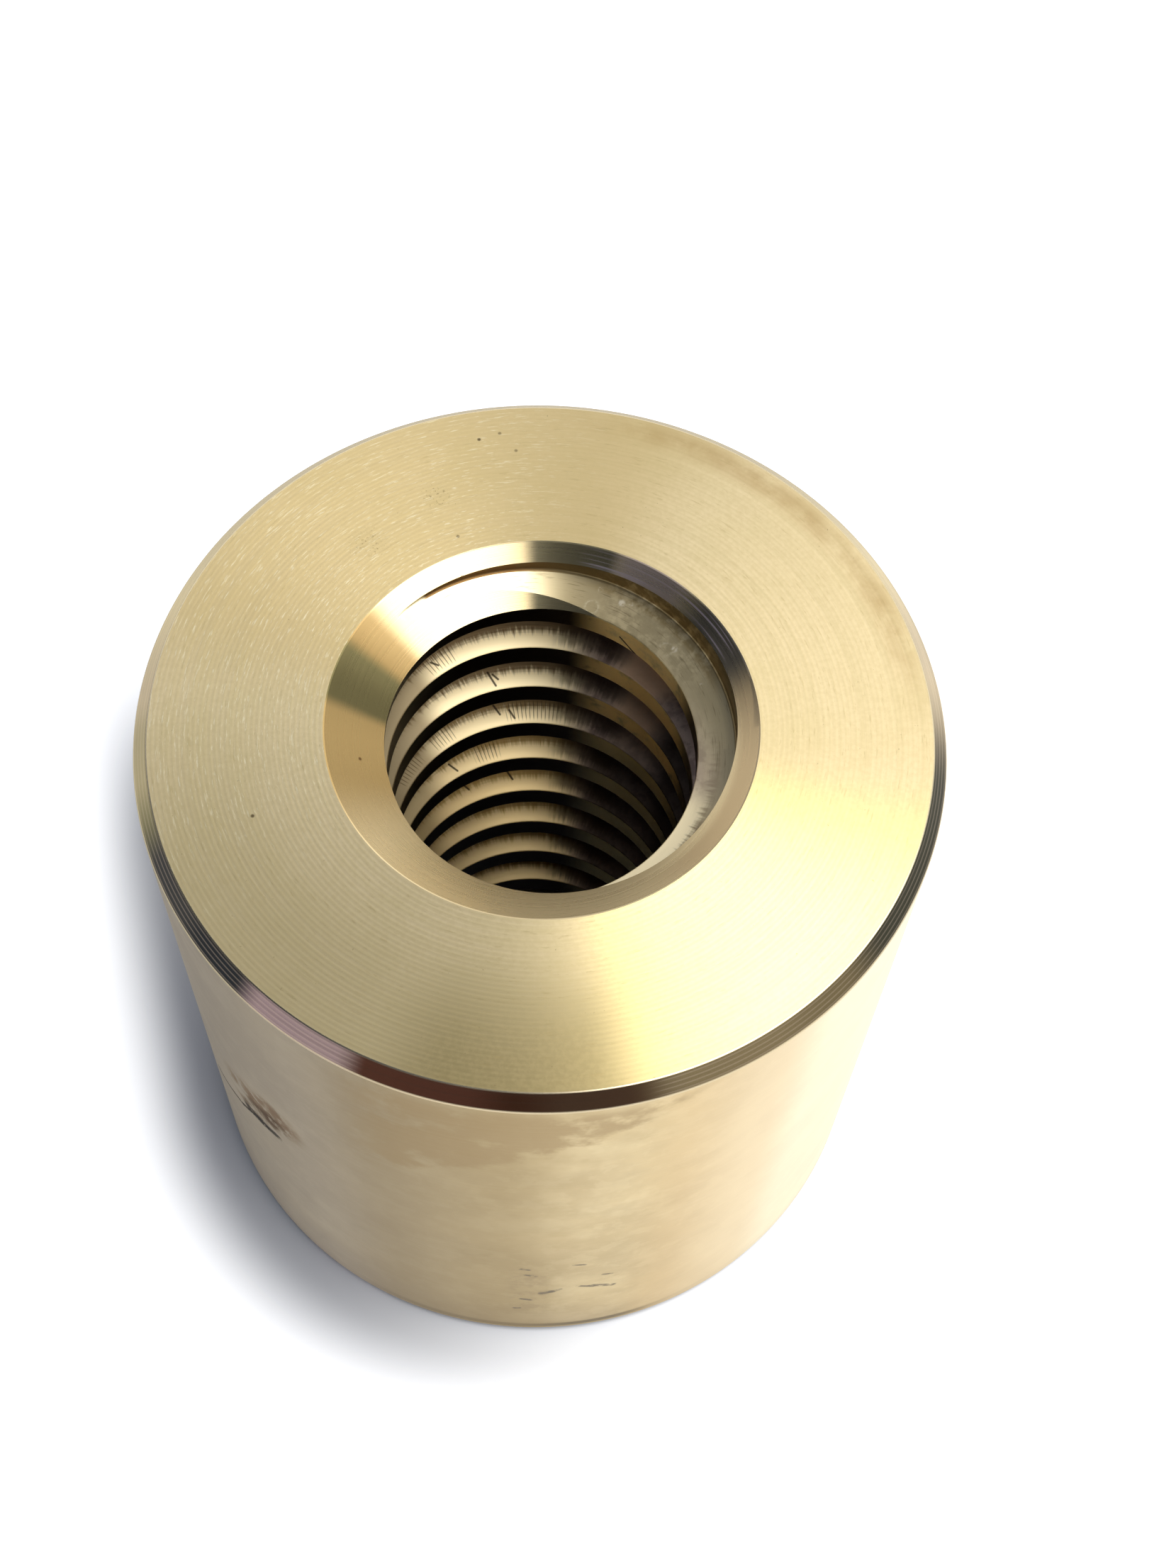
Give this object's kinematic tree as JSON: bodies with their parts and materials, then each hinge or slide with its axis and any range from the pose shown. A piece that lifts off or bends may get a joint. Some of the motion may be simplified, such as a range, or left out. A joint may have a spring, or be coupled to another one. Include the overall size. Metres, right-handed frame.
{
  "type": "trapezoidal nut",
  "caption": "Round bronze nut with a right-hand trapezoidal thread right through, countersunk at both ends and chamfered round the outside.",
  "frame": {"origin": "centre of the lower end face, on the thread's axis", "axes": "+Z along the thread's axis, towards the upper end face; the groove's middle leaves the upper face 133.5 degrees from +X towards +Y"},
  "size_m": [0.05, 0.05, 0.048],
  "materials": {
    "bronze": "turned, lightly tarnished"
  },
  "bodies": {
    "root": {"trapezoidal_nut": "bronze"}
  },
  "joints": []
}
